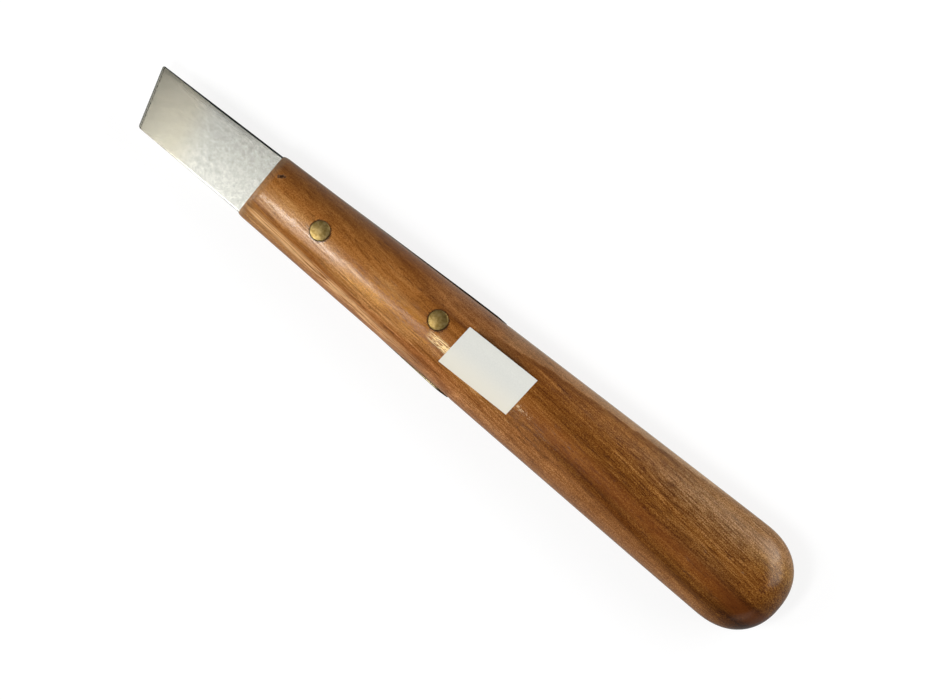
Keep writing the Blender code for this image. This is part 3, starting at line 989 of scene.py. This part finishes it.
def make_floor():
    shape = bmesh.new()
    bmesh.ops.create_grid(shape, x_segments=FLOOR_STEPS, y_segments=FLOOR_STEPS, size=FLOOR_HALF_SIDE)
    floor = new_piece("floor", shape)
    white = Finish(bpy.data.materials.new("white_sheet"))
    seen = seen_directly(white)
    colour = white.mixed(seen, grey(0.5), grey(0.9))
    sheet = white.node("ShaderNodeBsdfDiffuse", None, {"Color": colour})

    # The steel and the lacquer mirror a warmer sheet that glows for reflections only: a painted bright
    # patch on the knife's long side, brighter still beside the blade, and a painted dark patch beside the
    # butt.
    place = white.node("ShaderNodeTexCoord", None, None, "Object")
    along, across, _ = white.parted(place)
    glow_patch = white.between(along, -0.07, 0.035) * white.between(across, 0.005, 0.015)
    to_right = along * math.cos(KNIFE_SLANT) + across * math.sin(KNIFE_SLANT)
    glow_patch = glow_patch * (1.0 - white.between(to_right, 0.055, 0.075))
    card = white.mixed(glow_patch, (0.4, 0.34, 0.28, 1.0), (0.7, 0.65, 0.56, 1.0))
    beside_blade = (1.0 - white.between(along, -0.07, -0.06)) * (1.0 - white.between(across, -0.006, 0.0))
    card = white.mixed(beside_blade, card, grey(1.3))
    beside_butt = white.between(along, 0.065, 0.09) * (1.0 - white.between(across, -0.002, 0.008))
    card = white.mixed(beside_butt, card, (0.05, 0.05, 0.045, 1.0))
    mirrored = white.node("ShaderNodeLightPath", None, None, "Is Glossy Ray")
    shine = white.mixed(mirrored, grey(1.1), card)
    glow = white.node("ShaderNodeEmission", None, {"Color": shine, "Strength": 1.0})
    inputs = {"Fac": seen * 0.7, "Shader": sheet, "Shader_001": glow}
    mixed = white.node("ShaderNodeMixShader", None, inputs)
    white.node("ShaderNodeOutputMaterial", None, {"Surface": mixed})
    floor.data.materials.append(white.owner)


def add_softbox(name, place, aim, size, radiance, turn=0.0):
    """An area lamp whose face is as bright as radiance, where 1 is a white sheet in full light."""
    lamp = bpy.data.lights.new(name, "AREA")
    lamp.shape = "RECTANGLE"
    lamp.size, lamp.size_y = size
    lamp.energy = radiance * math.pi * size[0] * size[1]
    softbox = bpy.data.objects.new(name, lamp)
    softbox.location = place
    facing = (Vector(aim) - Vector(place)).to_track_quat("-Z", "Y")
    softbox.rotation_euler = (facing @ Quaternion((0.0, 0.0, 1.0), turn)).to_euler()
    bpy.context.scene.collection.objects.link(softbox)


def light_studio():
    add_softbox("window_softbox", (-0.094, -0.205, 0.58), (-0.04, 0.0, 0.0), (0.092, 0.13), 24.3)
    add_softbox("window_sill", (-0.091, -0.36, 0.56), (-0.04, 0.0, 0.0), (0.098, 0.2), 7.0)
    over_blade = (-0.1, -0.0524, 0.0)
    add_softbox("ceiling_panel", (-0.1, -0.0524, 0.6), over_blade, (0.14, 0.08), 2.3, SKEW_ANGLE)
    add_softbox("low_softbox", (-0.65, -0.4, 0.55), (-0.02, 0.0, 0.0), (0.5, 0.5), 5.2)
    add_softbox("side_softbox", (0.4, 0.38, 0.3), (0.06, 0.0, 0.0), (0.5, 0.4), 3.2)
    add_softbox("far_softbox", (0.2, 0.5, 0.22), (0.1, 0.0, 0.0), (0.2, 0.4), 4.1)

    # A dim room, with pale walls low down before and behind the knife
    world = Finish(bpy.context.scene.world or bpy.data.worlds.new("studio"))
    bpy.context.scene.world = world.owner
    direction = world.node("ShaderNodeTexCoord", None, None, "Generated")
    ahead, _, rise = world.parted(direction)
    stops = [(0.0, grey(0.25)), (0.2, grey(0.22)), (0.5, grey(0.07))]
    sky = world.node("ShaderNodeValToRGB", {"stops": stops}, {"Fac": rise})
    wall = world.between(world.size(ahead), 0.3, 0.6) * (1.0 - world.between(ahead, 0.75, 0.9))
    wall = wall * (1.0 - world.between(rise, 0.3, 0.5))
    sky = world.mixed(wall, sky, grey(0.7))
    colour = world.mixed(seen_directly(world), grey(0.16), sky)
    background = world.node("ShaderNodeBackground", None, {"Color": colour, "Strength": 1.0})
    world.node("ShaderNodeOutputWorld", None, {"Surface": background})


def aim_camera():
    view = bpy.data.cameras.new("camera")
    view.sensor_width = SENSOR
    view.lens = LENS
    camera = bpy.data.objects.new("camera", view)
    distance = FRAME_WIDTH * METRES_PER_PIXEL * LENS / SENSOR
    camera.location = (AIM_BACK_OF_MIDDLE, AIM_ACROSS, MIDDLE_HEIGHT + distance)
    camera.rotation_euler = (0.0, 0.0, KNIFE_SLANT)
    bpy.context.scene.collection.objects.link(camera)
    bpy.context.scene.camera = camera


bpy.context.scene.view_settings.view_transform = "Standard"
make_handle(lacquered_hardwood())
make_blade(ground_steel())
make_rivets(sanded_brass())
make_sticker(white_paper())
make_floor()
light_studio()
aim_camera()
